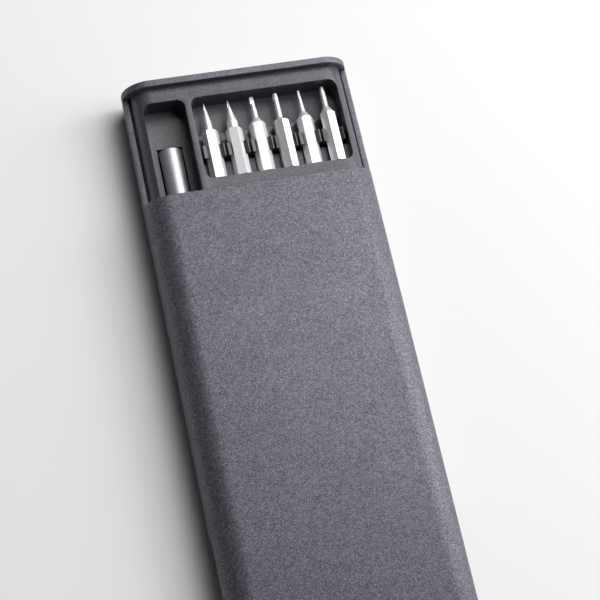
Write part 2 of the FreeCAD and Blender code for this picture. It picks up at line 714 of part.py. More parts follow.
def make_driver_tail():
    """The spinning finger rest, its thrust bearing and the pin that they turn on."""
    ring_height = "dims.bearing_thick - dims.bearing_gap"
    ring = cylinder("bearing_ring", "dims.bearing_radius", ring_height, "dims.bearing_gap")
    ring_bore = cylinder("bearing_bore", "dims.pin_radius", "dims.bearing_thick", "0.0")
    lay_driver_piece(cut("tail_bearing", ring, ring_bore), "tail_bearing", TAIL_START)
    rest = cylinder("rest_body", "dims.barrel_radius", "dims.tail_length", "0.0")
    bore = cylinder("rest_bore", "dims.pin_radius + dims.pin_gap", "dims.tail_length", "0.0")
    head_room = "dims.tail_length - dims.pin_head_length + 2 * dims.pin_gap"
    counterbore = cylinder("rest_counterbore", "dims.pin_head_radius + dims.pin_gap", head_room, "0.0")
    tail_cap = cut("driver_tail_cap", rest, fuse("rest_cavity", [bore, counterbore]))
    lay_driver_piece(tail_cap, "driver_tail_cap", TAIL_END)
    reach = "dims.pin_depth + dims.bearing_thick + dims.pin_head_length"
    shaft = cylinder("pin_shaft", "dims.pin_radius", reach, "0.0")
    head = cylinder("pin_head", "dims.pin_head_radius", "dims.pin_head_length", "-dims.pin_head_length")
    pin = fuse("tail_pin", [shaft, head])
    lay_driver_piece(pin, "tail_pin", f"{BARREL_END} + dims.bearing_thick + dims.pin_head_length")


# ---- building, checking and writing ----


def build():
    fill_sheet()
    make_case_shell()
    make_end_cap()
    make_bit_tray()
    make_tray_screws()
    make_sliding_cover()
    make_cover_end_wall()
    for row, bits in enumerate(BITS):
        make_clip_strip(row)
        for index, (name, shape, _, roll) in enumerate(bits):
            make_bit(row, index, name, shape, roll)
    make_driver_nose()
    make_driver_barrel()
    make_driver_tail()
    doc.recompute()


def pieces():
    labels = ["case_shell", "end_cap", "bit_tray", "tray_screws", "sliding_cover", "cover_end_wall"]
    labels += [f"clip_strip_{row + 1}" for row in range(len(BITS))]
    labels += [name for row in BITS for name, _, _, _ in row]
    labels += ["driver_nose", "socket_magnet", "driver_barrel", "tail_bearing", "driver_tail_cap", "tail_pin"]
    return [doc.getObjectsByLabel(label)[0] for label in labels]


def check():
    for item in doc.Objects:
        if {"Invalid", "Error"} & set(item.State):
            raise RuntimeError(f"{item.Name} failed: {item.State}")
    for piece in pieces():
        if piece.Shape.isNull() or not piece.Shape.isValid():
            raise RuntimeError(f"{piece.Label} has no valid shape")
        count = len(piece.Shape.Solids)
        if count != (len(SCREW_PLACES) if piece.Label == "tray_screws" else 1):
            raise RuntimeError(f"{piece.Label} has {count} solids")


def write():
    os.makedirs("parts", exist_ok=True)
    for piece in pieces():
        piece.Shape.exportStep(f"parts/{piece.Label}.step")


build()
check()
write()
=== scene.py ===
"""Looks of the pocket precision screwdriver set, lying on its back with the cover part way open."""
import json
import math

import bpy
from mathutils import Matrix, Vector


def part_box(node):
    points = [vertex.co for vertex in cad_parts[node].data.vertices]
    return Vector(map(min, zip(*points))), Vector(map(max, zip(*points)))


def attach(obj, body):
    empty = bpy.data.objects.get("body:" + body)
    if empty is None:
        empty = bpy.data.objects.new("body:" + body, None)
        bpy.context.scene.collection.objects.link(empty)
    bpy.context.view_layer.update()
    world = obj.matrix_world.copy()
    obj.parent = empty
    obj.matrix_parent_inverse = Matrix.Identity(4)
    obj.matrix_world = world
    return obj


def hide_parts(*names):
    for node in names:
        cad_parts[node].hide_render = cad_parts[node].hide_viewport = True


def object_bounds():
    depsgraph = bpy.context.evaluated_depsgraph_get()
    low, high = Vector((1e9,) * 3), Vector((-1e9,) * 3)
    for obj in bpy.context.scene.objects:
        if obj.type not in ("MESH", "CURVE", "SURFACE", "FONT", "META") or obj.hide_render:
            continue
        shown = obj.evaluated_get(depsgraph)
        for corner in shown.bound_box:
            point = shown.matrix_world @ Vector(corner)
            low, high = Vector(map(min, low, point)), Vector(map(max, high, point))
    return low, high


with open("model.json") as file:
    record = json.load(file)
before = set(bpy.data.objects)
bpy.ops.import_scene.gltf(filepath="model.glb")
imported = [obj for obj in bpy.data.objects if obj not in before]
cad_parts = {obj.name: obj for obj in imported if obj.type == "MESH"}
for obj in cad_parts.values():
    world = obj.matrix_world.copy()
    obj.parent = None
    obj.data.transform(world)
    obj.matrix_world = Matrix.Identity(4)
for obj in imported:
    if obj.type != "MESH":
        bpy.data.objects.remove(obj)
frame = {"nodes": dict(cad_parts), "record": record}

CAD_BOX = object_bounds()
MM = 0.001
DOUBLED = 0.002 * MM
RECORD = frame["record"]
BODIES = RECORD["behaviour"]["bodies"]
BODY_OF = {node: body for body, nodes in BODIES.items() for node in nodes}
SLOT_OF = {part["node"]: part["material_slot"] for part in RECORD["subparts"]}


# ---- picking things up and putting them down ----


def deselect():
    """Leave edit mode and let go of everything."""
    if bpy.context.object and bpy.context.object.mode != "OBJECT":
        bpy.ops.object.mode_set(mode="OBJECT")
    bpy.ops.object.select_all(action="DESELECT")


def activate(piece):
    deselect()
    piece.select_set(True)
    bpy.context.view_layer.objects.active = piece


def seat(piece):
    """Leave the piece's object at the origin, with its place in its mesh."""
    activate(piece)
    bpy.ops.object.transform_apply(location=True, rotation=True, scale=True)


def apply_modifiers(piece):
    """Make a piece's modifiers part of its mesh, in their order."""
    activate(piece)
    for modifier in list(piece.modifiers):
        bpy.ops.object.modifier_apply(modifier=modifier.name)


def smooth(piece, degrees=35):
    """Shade smoothly over every edge gentler than an angle."""
    activate(piece)
    bpy.ops.object.shade_smooth_by_angle(angle=math.radians(degrees))


def clean(piece):
    """Merge doubled points and turn every face outwards."""
    activate(piece)
    bpy.ops.object.mode_set(mode="EDIT")
    bpy.ops.mesh.select_all(action="SELECT")
    bpy.ops.mesh.remove_doubles(threshold=DOUBLED)
    bpy.ops.mesh.normals_make_consistent(inside=False)
    bpy.ops.object.mode_set(mode="OBJECT")


def stand_for(piece, node, finish):
    """Show the piece in place of a CAD node, on the same body and with the finish it is given."""
    piece.data.materials.clear()
    piece.data.materials.append(finish)
    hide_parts(node)
    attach(piece, BODY_OF[node])


def copy_node(node, name):
    """A loose copy of a CAD node's mesh, its doubled points merged and its flat faces made whole."""
    piece = bpy.data.objects.new(name, frame["nodes"][node].data.copy())
    bpy.context.collection.objects.link(piece)
    piece.data.materials.clear()
    activate(piece)
    bpy.ops.object.mode_set(mode="EDIT")
    bpy.ops.mesh.select_all(action="SELECT")
    bpy.ops.mesh.customdata_custom_splitnormals_clear()
    bpy.ops.mesh.remove_doubles(threshold=DOUBLED)
    bpy.ops.mesh.dissolve_limited(angle_limit=math.radians(0.5))
    bpy.ops.object.mode_set(mode="OBJECT")
    return piece


def break_edges(piece, radius, degrees=40, segments=3):
    """Round every sharp edge of a piece by a small radius."""
    bevel = piece.modifiers.new("broken edges", "BEVEL")
    bevel.width = radius
    bevel.segments = segments
    bevel.limit_method = "ANGLE"
    bevel.angle_limit = math.radians(degrees)
    bevel.harden_normals = False
    apply_modifiers(piece)
    smooth(piece, degrees)


def softened(node, name, radius, finish):
    """A CAD node's shape with its sharp edges broken, shown in place of the node."""
    piece = copy_node(node, name)
    break_edges(piece, radius)
    stand_for(piece, node, finish)


# ---- effects shared by the finishes ----


def new_group(name, inputs, outputs):
    """A shader node group with named value inputs and outputs."""
    group = bpy.data.node_groups.new(name, "ShaderNodeTree")
    for label, value in inputs.items():
        socket = group.interface.new_socket(label, in_out="INPUT", socket_type="NodeSocketFloat")
        socket.default_value = value
    for label in outputs:
        group.interface.new_socket(label, in_out="OUTPUT", socket_type="NodeSocketFloat")
    return group, group.nodes.new("NodeGroupInput"), group.nodes.new("NodeGroupOutput")


def add(tree, kind, **settings):
    """A new shader node with its settings."""
    node = tree.nodes.new(kind)
    for key, value in settings.items():
        setattr(node, key, value)
    return node


def math_node(tree, operation, first, second):
    """A Math node; each operand is a socket to link or a plain number."""
    node = add(tree, "ShaderNodeMath", operation=operation)
    for index, operand in enumerate((first, second)):
        if isinstance(operand, (int, float)):
            node.inputs[index].default_value = operand
        else:
            tree.links.new(operand, node.inputs[index])
    return node.outputs[0]


def object_noise(tree, scale, detail, roughness=0.6):
    """Noise fixed to the piece itself; the scale is in cells for each metre, a number or a socket."""
    place = add(tree, "ShaderNodeTexCoord")
    noise = add(tree, "ShaderNodeTexNoise")
    noise.inputs["Detail"].default_value = detail
    noise.inputs["Roughness"].default_value = roughness
    tree.links.new(place.outputs["Object"], noise.inputs["Vector"])
    if isinstance(scale, (int, float)):
        noise.inputs["Scale"].default_value = scale
    else:
        tree.links.new(scale, noise.inputs["Scale"])
    return noise.outputs["Fac"]


def remap(tree, value, low, high, to_low=0.0, to_high=1.0):
    """Stretch one range of a value over another."""
    node = add(tree, "ShaderNodeMapRange")
    tree.links.new(value, node.inputs["Value"])
    numbers = (low, high, to_low, to_high)
    for label, number in zip(("From Min", "From Max", "To Min", "To Max"), numbers):
        node.inputs[label].default_value = number
    return node.outputs["Result"]


FINE_SHARE = 0.65
COARSE_GRAIN = 0.37
# reach of the painted rim highlight, which is broken into patches like wear
RIM_SHEEN_RADIUS = 0.35 * MM


def make_grit():
    """Blasted or moulded grain: dark pits, bright specks and the height that goes with them."""
    group, given, made = new_group("grit", {"Grain": 3200.0}, ("Tone", "Specks", "Height"))
    fine = object_noise(group, given.outputs["Grain"], 2.5, 0.62)
    coarse = object_noise(group, math_node(group, "MULTIPLY", given.outputs["Grain"], COARSE_GRAIN), 2.0)
    fine_share = math_node(group, "MULTIPLY", fine, FINE_SHARE)
    coarse_share = math_node(group, "MULTIPLY", coarse, 1 - FINE_SHARE)
    mixed = math_node(group, "ADD", fine_share, coarse_share)
    group.links.new(remap(group, mixed, 0.42, 0.58), made.inputs["Tone"])
    group.links.new(remap(group, fine, 0.6, 0.68), made.inputs["Specks"])
    group.links.new(mixed, made.inputs["Height"])
    return group


def make_handling():
    """Broad, faint smears left by fingers, as a roughness variation."""
    group, _, made = new_group("handling", {}, ("Smears",))
    broad = object_noise(group, 70.0, 3.0)
    streaks = object_noise(group, 420.0, 2.0)
    both = math_node(group, "MULTIPLY", broad, math_node(group, "ADD", streaks, 0.5))
    group.links.new(remap(group, both, 0.35, 0.7), made.inputs["Smears"])
    return group


def make_rim_sheen_and_wear():
    """Painted highlight on the rims, in patches like rubbed wear: the difference between the true and the
    rounded-off normal.
    """
    group, given, made = new_group("rim sheen and wear", {"Grain": 900.0}, ("Sheen and wear",))
    rounded = add(group, "ShaderNodeBevel", samples=4)
    rounded.inputs["Radius"].default_value = RIM_SHEEN_RADIUS
    flat = add(group, "ShaderNodeNewGeometry")
    dot = add(group, "ShaderNodeVectorMath", operation="DOT_PRODUCT")
    group.links.new(rounded.outputs["Normal"], dot.inputs[0])
    group.links.new(flat.outputs["Normal"], dot.inputs[1])
    edge = remap(group, dot.outputs["Value"], 0.995, 0.93)
    patches = remap(group, object_noise(group, given.outputs["Grain"], 3.0), 0.42, 0.62)
    group.links.new(math_node(group, "MULTIPLY", edge, patches), made.inputs["Sheen and wear"])
    return group


def make_turning():
    """Fine lines left by turning or drawing, round a piece that lies along Y."""
    group, given, made = new_group("turning marks", {"Across": 400.0, "Along": 5000.0}, ("Lines",))
    place = add(group, "ShaderNodeTexCoord")
    stretch = add(group, "ShaderNodeMapping")
    scales = add(group, "ShaderNodeCombineXYZ")
    for axis, label in (("X", "Across"), ("Y", "Along"), ("Z", "Across")):
        group.links.new(given.outputs[label], scales.inputs[axis])
    group.links.new(scales.outputs["Vector"], stretch.inputs["Scale"])
    group.links.new(place.outputs["Object"], stretch.inputs["Vector"])
    noise = add(group, "ShaderNodeTexNoise")
    noise.inputs["Scale"].default_value = 1.0
    noise.inputs["Detail"].default_value = 3.0
    group.links.new(stretch.outputs["Vector"], noise.inputs["Vector"])
    group.links.new(noise.outputs["Fac"], made.inputs["Lines"])
    return group


GRIT = make_grit()
TURNING = make_turning()
HANDLING = make_handling()
RIM_SHEEN_AND_WEAR = make_rim_sheen_and_wear()


def use(tree, group, **values):
    """Put a shared effect into a finish."""
    node = add(tree, "ShaderNodeGroup", node_tree=group)
    for label, value in values.items():
        node.inputs[label].default_value = value
    return node


def new_finish(name, metallic, coat=0.0):
    """A material with its shader ready, still without colour."""
    finish = bpy.data.materials.new(name)
    finish.use_nodes = True
    tree = finish.node_tree
    shader = tree.nodes["Principled BSDF"]
    shader.inputs["Metallic"].default_value = metallic
    shader.inputs["Coat Weight"].default_value = coat
    return finish, tree, shader


def mix_colours(tree, amount, first, second):
    """Blend two colours, each a plain one or a socket to link."""
    node = add(tree, "ShaderNodeMix", data_type="RGBA")
    tree.links.new(amount, node.inputs["Factor"])
    for socket, colour in ((node.inputs[6], first), (node.inputs[7], second)):
        if isinstance(colour, tuple):
            socket.default_value = (*colour, 1.0)
        else:
            tree.links.new(colour, socket)
    return node.outputs[2]


def bump(tree, shader, height, distance, strength=1.0):
    """Raise the surface by a height, at most by a distance."""
    node = add(tree, "ShaderNodeBump")
    node.inputs["Strength"].default_value = strength
    node.inputs["Distance"].default_value = distance
    tree.links.new(height, node.inputs["Height"])
    tree.links.new(node.outputs["Normal"], shader.inputs["Normal"])


def vary_roughness(tree, shader, value, low, high, smooth_side, rough_side):
    """Let a value move the roughness between two limits."""
    tree.links.new(remap(tree, value, low, high, smooth_side, rough_side), shader.inputs["Roughness"])


# how far the rims are lightened towards the speck colour: a painted highlight, in patches like wear
RIM_SHEEN_SHARE = 0.35


def blasted_finish(name, dark, light, speck_and_sheen, grain, metallic, roughness, depth):
    """Grit-blasted and anodised metal, or moulded plastic with the same grain, with a painted highlight on
    its rims.
    """
    finish, tree, shader = new_finish(name, metallic)
    grit = use(tree, GRIT, Grain=grain)
    rim_sheen = use(tree, RIM_SHEEN_AND_WEAR)
    toned = mix_colours(tree, grit.outputs["Tone"], dark, light)
    specked = mix_colours(tree, grit.outputs["Specks"], toned, speck_and_sheen)
    # rims lightened towards the speck colour: a painted highlight along the rounded edges, in patches like
    # wear
    rim_sheen_share = math_node(tree, "MULTIPLY", rim_sheen.outputs["Sheen and wear"], RIM_SHEEN_SHARE)
    tree.links.new(mix_colours(tree, rim_sheen_share, specked, speck_and_sheen), shader.inputs["Base Color"])
    smears = use(tree, HANDLING).outputs["Smears"]
    vary_roughness(tree, shader, smears, 0.0, 1.0, roughness - 0.04, roughness + 0.05)
    bump(tree, shader, grit.outputs["Height"], depth)
    return finish


def polished_steel():
    """Bright nickel-plated tool steel, with faint turning lines round its length."""
    finish, tree, shader = new_finish("polished steel", 0.55)
    lines = use(tree, TURNING, Across=500.0, Along=6000.0).outputs["Lines"]
    cloud = object_noise(tree, 500.0, 4.0)
    tone = mix_colours(tree, cloud, (0.88, 0.88, 0.9), (0.97, 0.97, 0.98))
    tree.links.new(tone, shader.inputs["Base Color"])
    vary_roughness(tree, shader, lines, 0.3, 0.7, 0.36, 0.48)
    bump(tree, shader, lines, 0.0015 * MM)
    return finish


def satin_aluminium():
    """The driver's fine-blasted aluminium."""
    finish, tree, shader = new_finish("satin aluminium", 1.0)
    grit = use(tree, GRIT, Grain=9000.0)
    tone = mix_colours(tree, grit.outputs["Tone"], (0.6, 0.6, 0.635), (0.7, 0.7, 0.735))
    tree.links.new(tone, shader.inputs["Base Color"])
    smears = use(tree, HANDLING).outputs["Smears"]
    vary_roughness(tree, shader, smears, 0.0, 1.0, 0.5, 0.6)
    bump(tree, shader, grit.outputs["Height"], 0.006 * MM)
    return finish


def clip_plastic():
    """The clips' black nylon, glossier than the tray."""
    finish, tree, shader = new_finish("clip plastic", 0.0, coat=0.3)
    cloud = object_noise(tree, 900.0, 3.0)
    tone = mix_colours(tree, cloud, (0.022, 0.022, 0.025), (0.05, 0.05, 0.055))
    tree.links.new(tone, shader.inputs["Base Color"])
    vary_roughness(tree, shader, cloud, 0.3, 0.7, 0.25, 0.4)
    bump(tree, shader, cloud, 0.02 * MM, 0.4)
    return finish


def plain_finish(name, first, second, metallic, roughness):
    """A small part's finish: two close tones in soft clouds."""
    finish, tree, shader = new_finish(name, metallic)
    cloud = object_noise(tree, 1500.0, 4.0)
    tree.links.new(mix_colours(tree, cloud, first, second), shader.inputs["Base Color"])
    vary_roughness(tree, shader, cloud, 0.3, 0.7, roughness - 0.06, roughness + 0.06)
    bump(tree, shader, cloud, 0.01 * MM, 0.5)
    return finish


def cover_metal():
    return blasted_finish(
        "blasted cover",
        dark=(0.064, 0.0615, 0.077),
        light=(0.176, 0.169, 0.208),
        speck_and_sheen=(0.38, 0.37, 0.43),
        grain=4000.0,
        metallic=0.35,
        roughness=0.5,
        depth=0.06 * MM,
    )


def case_metal():
    return blasted_finish(
        "blasted case",
        dark=(0.085, 0.082, 0.102),
        light=(0.17, 0.163, 0.195),
        speck_and_sheen=(0.3, 0.29, 0.34),
        grain=4200.0,
        metallic=0.35,
        roughness=0.5,
        depth=0.03 * MM,
    )


def tray_plastic():
    return blasted_finish(
        "moulded tray",
        dark=(0.043, 0.0425, 0.053),
        light=(0.092, 0.09, 0.109),
        speck_and_sheen=(0.16, 0.157, 0.186),
        grain=4200.0,
        metallic=0.0,
        roughness=0.37,
        depth=0.025 * MM,
    )


FINISHES = {
    "cover_metal": cover_metal(),
    "case_metal": case_metal(),
    "tray_plastic": tray_plastic(),
    "clip_plastic": clip_plastic(),
    "bit_steel": polished_steel(),
    "driver_metal": satin_aluminium(),
    "magnet": plain_finish("magnet plating", (0.6, 0.6, 0.62), (0.75, 0.75, 0.77), 1.0, 0.3),
    "bearing_plastic": plain_finish("bearing nylon", (0.7, 0.7, 0.67), (0.82, 0.82, 0.79), 0.0, 0.5),
    "screw_steel": plain_finish("blackened steel", (0.05, 0.05, 0.055), (0.11, 0.11, 0.12), 0.8, 0.4),
}


# ---- shaping, at a thousand times full size ----
# Small parts are drawn with one unit to the millimetre, upright on the Z axis, and laid in place at the end.
# A hair is the smallest step between two places that count as different.

HAIR = 0.01


def move_points(piece, wanted, by):
    """Move the points whose place passes a test."""
    activate(piece)
    bpy.ops.object.mode_set(mode="EDIT")
    bpy.ops.mesh.select_mode(type="VERT")
    bpy.ops.mesh.select_all(action="DESELECT")
    bpy.ops.object.mode_set(mode="OBJECT")
    for point in piece.data.vertices:
        point.select = wanted(point.co)
    bpy.ops.object.mode_set(mode="EDIT")
    bpy.ops.transform.translate(value=by)
    bpy.ops.object.mode_set(mode="OBJECT")


def slice_at(piece, places):
    """Cut new edges right through a piece, each where a plane meets it."""
    activate(piece)
    bpy.ops.object.mode_set(mode="EDIT")
    for place, normal in places:
        bpy.ops.mesh.select_all(action="SELECT")
        bpy.ops.mesh.bisect(plane_co=place, plane_no=normal)
    bpy.ops.object.mode_set(mode="OBJECT")


def round_body(name, profile, sides=32):
    """A turned body: rings of (height, radius) pulled up one after another from the first."""
    deselect()
    (foot, first), rest = profile[0], profile[1:]
    bpy.ops.mesh.primitive_circle_add(vertices=sides, radius=first, fill_type="NGON", location=(0, 0, foot))
    piece = bpy.context.object
    piece.name = name
    bpy.ops.object.transform_apply(location=True, rotation=True, scale=True)
    bpy.ops.object.mode_set(mode="EDIT")
    bpy.ops.mesh.select_all(action="SELECT")
    height, radius = foot, first
    for next_height, next_radius in rest:
        bpy.ops.mesh.extrude_region_move(TRANSFORM_OT_translate={"value": (0, 0, next_height - height)})
        share = next_radius / radius
        bpy.ops.transform.resize(value=(share, share, 1), center_override=(0, 0, 0))
        height, radius = next_height, next_radius
    bpy.ops.mesh.select_all(action="SELECT")
    bpy.ops.mesh.normals_make_consistent(inside=False)
    bpy.ops.object.mode_set(mode="OBJECT")
    return piece


def bar(name, sides, radius, low, high, at=(0.0, 0.0), turn=0.0):
    """A straight bar of regular section, standing on end."""
    deselect()
    middle = (*at, (low + high) / 2)
    bpy.ops.mesh.primitive_cylinder_add(
        vertices=sides, radius=radius, depth=high - low, location=middle, rotation=(0, 0, turn)
    )
    piece = bpy.context.object
    piece.name = name
    bpy.ops.object.transform_apply(location=True, rotation=True, scale=True)
    return piece


def block(name, low, high):
    """A block between two corners."""
    deselect()
    middle = [(a + b) / 2 for a, b in zip(low, high)]
    bpy.ops.mesh.primitive_cube_add(size=1.0, location=middle)
    piece = bpy.context.object
    piece.name = name
    piece.scale = [b - a for a, b in zip(low, high)]
    bpy.ops.object.transform_apply(location=True, rotation=True, scale=True)
    return piece


def combine(piece, tools, operation):
    """Add, cut or keep only what lies in each tool, and throw the tool away."""
    for tool in tools:
        step = piece.modifiers.new("combine", "BOOLEAN")
        step.operation = operation
        step.solver = "EXACT"
        step.object = tool
        apply_modifiers(piece)
        bpy.data.objects.remove(tool)
    return piece


def join(pieces, name):
    """Make several pieces one mesh."""
    deselect()
    for piece in pieces:
        piece.select_set(True)
    bpy.context.view_layer.objects.active = pieces[0]
    bpy.ops.object.join()
    pieces[0].name = name
    return pieces[0]


def lay_along_y(piece, centre_x, foot_y, centre_z, roll=0.0):
    """Bring a piece down to full size, lay its top towards +Y and put its foot in place."""
    piece.rotation_euler = (0, 0, roll)
    seat(piece)
    piece.rotation_euler = (math.radians(-90), 0, 0)
    piece.scale = (MM, MM, MM)
    piece.location = (centre_x, foot_y, centre_z)
    seat(piece)


# ---- the bits ----

ACROSS_FLATS = 4.0
CORNER = ACROSS_FLATS / math.sqrt(3)
TAIL_CHAMFER = 0.12
SHANK_OVER = 0.2
BIT_EDGE = 0.05
ROUND_STEP = 13
TIP_LENGTH = 2.2

# each fluted tip: how many flutes, and their radius and place as shares of the tip's radius
FLUTED = {"cross": (4, 0.45, 0.98), "star": (6, 0.26, 1.06), "lobes": (5, 0.36, 1.1), "wings": (3, 0.62, 1.0)}
SOLID_TIP_SIDES = {"hexagon": 6, "triangle": 3}
BLADE_SHARE = 0.4
FORK_SHARE = 0.4
HOLE_SHARE = 0.78
CUTTER_REACH = 3.0
PAST_TIP = 1.0

# the tip's shape and width, and the roll of the shank in its pocket
TIPS = {
    "bit_cross_00": ("cross", 1.5, 0),
    "bit_cross_0": ("cross", 2.0, -12),
    "bit_slotted_1_5": ("blade", 1.5, -6),
    "bit_star_6": ("star", 1.7, 30),
    "bit_cross_000": ("cross", 1.1, 0),
    "bit_star_5": ("star", 1.45, 18),
    "bit_cross_1": ("cross", 2.6, 0),
    "bit_slotted_2_0": ("blade", 2.0, 0),
    "bit_slotted_3_0": ("blade", 2.8, 0),
    "bit_star_2": ("star", 1.0, 0),
    "bit_star_3": ("star", 1.2, 0),
    "bit_star_4": ("star", 1.35, 0),
    "bit_star_8": ("star", 2.3, 0),
    "bit_star_10": ("star", 2.7, 0),
    "bit_hex_0_9": ("hexagon", 1.1, 0),
    "bit_hex_1_3": ("hexagon", 1.5, 0),
    "bit_hex_1_5": ("hexagon", 1.75, 0),
    "bit_hex_2_0": ("hexagon", 2.3, 0),
    "bit_five_lobe_0_8": ("lobes", 0.9, 0),
    "bit_five_lobe_1_2": ("lobes", 1.25, 0),
    "bit_three_wing_0": ("wings", 1.4, 0),
    "bit_triangle_2_3": ("triangle", 2.3, 0),
    "bit_fork_2_6": ("fork", 2.6, 0),
    "bit_nut_socket_2_5": ("socket", 3.4, 0),
}

# necks that differ from the plain one: radius at each distance back from the point
NECKS = {
    "bit_cross_00": [(9.0, 2.5), (8.4, 1.9), (8.3, 1.0), (6.3, 1.1), (4.3, 0.85), (2.2, 0.5), (0.0, 0.12)],
    "bit_cross_0": [
        (9.2, 2.5),
        (8.8, 2.0),
        (8.7, 1.4),
        (8.4, 1.55),
        (6.6, 1.55),
        (5.9, 1.3),
        (3.4, 0.75),
        (0.0, 0.14),
    ],
    "bit_slotted_1_5": [(8.5, 2.5), (8.1, 2.0), (6.6, 1.0), (6.2, 0.85), (3.6, 0.8), (3.4, 0.7), (0.0, 0.54)],
    "bit_star_6": [(8.7, 2.5), (8.3, 2.0), (7.6, 0.95), (7.2, 0.8), (3.0, 0.75), (0.0, 0.66)],
    "bit_cross_000": [(9.0, 2.5), (8.6, 2.1), (6.5, 0.8), (4.4, 0.6), (0.0, 0.38)],
    "bit_star_5": [(8.4, 2.5), (8.1, 2.1), (6.3, 0.95), (5.9, 0.8), (3.0, 0.78), (0.0, 0.54)],
}


def plain_neck(radius):
    """A stepped neck that ends straight, a tip's length and a little more."""
    return [(8.0, 2.5), (6.8, 1.5), (6.6, max(1.4, radius)), (TIP_LENGTH + 0.2, radius), (0.0, radius)]


def radius_at(back, distance):
    """A neck's radius at a distance back from the point."""
    for (far, wide), (near, slim) in zip(back, back[1:]):
        if near <= distance <= far:
            return slim + (wide - slim) * (distance - near) / (far - near)


def flutes(name, count, radius, length, flute, reach):
    """Round cutters about the point, which leave lobes between them."""
    cutters = []
    for index in range(count):
        turn = 2 * math.pi * index / count
        place = (radius * reach * math.cos(turn), radius * reach * math.sin(turn))
        cutters.append(bar(name, 16, radius * flute, length - TIP_LENGTH, length + PAST_TIP, place))
    return cutters


def side_cuts(name, half_thick, length):
    """A block each side of a point, which flatten it into a blade."""
    foot, top, wide = length - TIP_LENGTH, length + PAST_TIP, CUTTER_REACH
    below = block(name, (-wide, -wide, foot), (wide, -half_thick, top))
    above = block(name, (-wide, half_thick, foot), (wide, wide, top))
    return [below, above]


def fork_slot(radius, length):
    """The slot between a fork's two prongs."""
    half = radius * FORK_SHARE
    return block("slot", (-CUTTER_REACH, -half, length - TIP_LENGTH), (CUTTER_REACH, half, length + PAST_TIP))


def around_core(sides, radius, length):
    """A sleeve whose bore has flat sides, which leaves a point with as many."""
    sleeve = bar("sleeve", 32, radius * 1.6, length - TIP_LENGTH, length + PAST_TIP)
    core = bar("core", sides, radius, length - TIP_LENGTH - 1, length + PAST_TIP + 1)
    return combine(sleeve, [core], "DIFFERENCE")


def shape_tip(bit, kind, radius, length):
    """Cut a bit's working end."""
    if kind in FLUTED:
        count, flute, reach = FLUTED[kind]
        cutters = flutes("flute", count, radius, length, flute, reach)
    elif kind == "blade":
        cutters = side_cuts("flat", radius * BLADE_SHARE, length)
    elif kind == "fork":
        cutters = [fork_slot(radius, length)]
    elif kind == "socket":
        cutters = [bar("hole", 6, radius * HOLE_SHARE, length - TIP_LENGTH, length + PAST_TIP)]
    else:
        cutters = [around_core(SOLID_TIP_SIDES[kind], radius, length)]
    combine(bit, cutters, "DIFFERENCE")


def make_bit(node):
    """A bit turned from hexagonal bar: chamfered tail, scalloped shoulder, neck and tip.

    The facets stay flat: only the turned faces are gentle enough to be shaded smoothly.
    """
    kind, across, roll = TIPS[node]
    low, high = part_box(node)
    length = (high.y - low.y) / MM
    back = NECKS.get(node) or plain_neck(across / 2)
    profile = [(0.0, CORNER - TAIL_CHAMFER), (TAIL_CHAMFER, CORNER + SHANK_OVER)]
    profile += [(length - distance, radius) for distance, radius in back]
    bit = round_body(node + "_turned", profile)
    stock = bar("hexagonal_bar", 6, CORNER, -1.0, length + 1.0, turn=math.radians(30))
    combine(bit, [stock], "INTERSECT")
    shape_tip(bit, kind, radius_at(back, TIP_LENGTH), length)
    break_edges(bit, BIT_EDGE, degrees=28, segments=2)
    lay_along_y(bit, (low.x + high.x) / 2, low.y, (low.z + high.z) / 2, math.radians(roll))
    smooth(bit, ROUND_STEP)
    stand_for(bit, node, FINISHES["bit_steel"])


# ---- the clip strips ----

LEG_GAP = 0.08
LEG_THICK = 0.7
LEG_LENGTH = 3.8
LEG_ABOVE = 1.5
LEG_EDGE = 0.07
LEG_INSET = 0.02
LEG_SINK = 0.1
HOOK_REACH = 1.68
HOOK_REACH_ROLLED = 2.08
HOOK_FROM = 0.05
LEAD_IN = 0.35
RIDGE_IN = 0.3
RIDGE_DROP = 0.1
STRIP_BAR_THICK = 1.6
LIP_REACH = 1.8
LIP_THICK = 0.35
LIP_ABOVE_BAR = 2.65
STRIP_EDGE = 0.08
TURNED_FAR = 15


def make_leg(centre, side, hook, back, front, foot):
    """A springy leg: upright beside the shank and hooked over it, with a ridge along its top."""
    inner = CORNER + LEG_GAP
    outer = inner + LEG_THICK
    leg = block("leg", (inner, back, foot), (outer, front, LEG_ABOVE))
    slice_at(leg, [((0, 0, HOOK_FROM), (0, 0, 1)), ((outer - RIDGE_IN, 0, 0), (1, 0, 0))])
    move_points(leg, lambda at: at.z > LEG_ABOVE - HAIR and at.x > outer - HAIR, (0, 0, -RIDGE_DROP))
    hook_move = (hook - inner, 0, -LEAD_IN)
    move_points(leg, lambda at: at.z > LEG_ABOVE - HAIR and at.x < inner + HAIR, hook_move)
    break_edges(leg, LEG_EDGE, degrees=12, segments=2)
    if side < 0:
        leg.scale = (-1, 1, 1)
        seat(leg)
        clean(leg)
    leg.scale = (MM, MM, MM)
    leg.location = centre
    seat(leg)
    return leg


def make_strip_base(low, high):
    """The bar that lies in the recess, and the step that rises from it to a lip on the tray's floor."""
    low, high = low / MM, high / MM
    bar_top = low.z + STRIP_BAR_THICK
    lip_top = bar_top + LIP_ABOVE_BAR
    legs_front = low.y + LEG_LENGTH
    step_front = high.y - LIP_REACH
    base = block("strip_bar", low, (high.x, step_front, bar_top))
    step = block("strip_step", (low.x, legs_front, low.z), (high.x, step_front, lip_top))
    lip = block("strip_lip", (low.x, legs_front, lip_top - LIP_THICK), (high.x, high.y, lip_top))
    combine(base, [step, lip], "UNION")
    break_edges(base, STRIP_EDGE, segments=2)
    base.scale = (MM, MM, MM)
    seat(base)
    return base


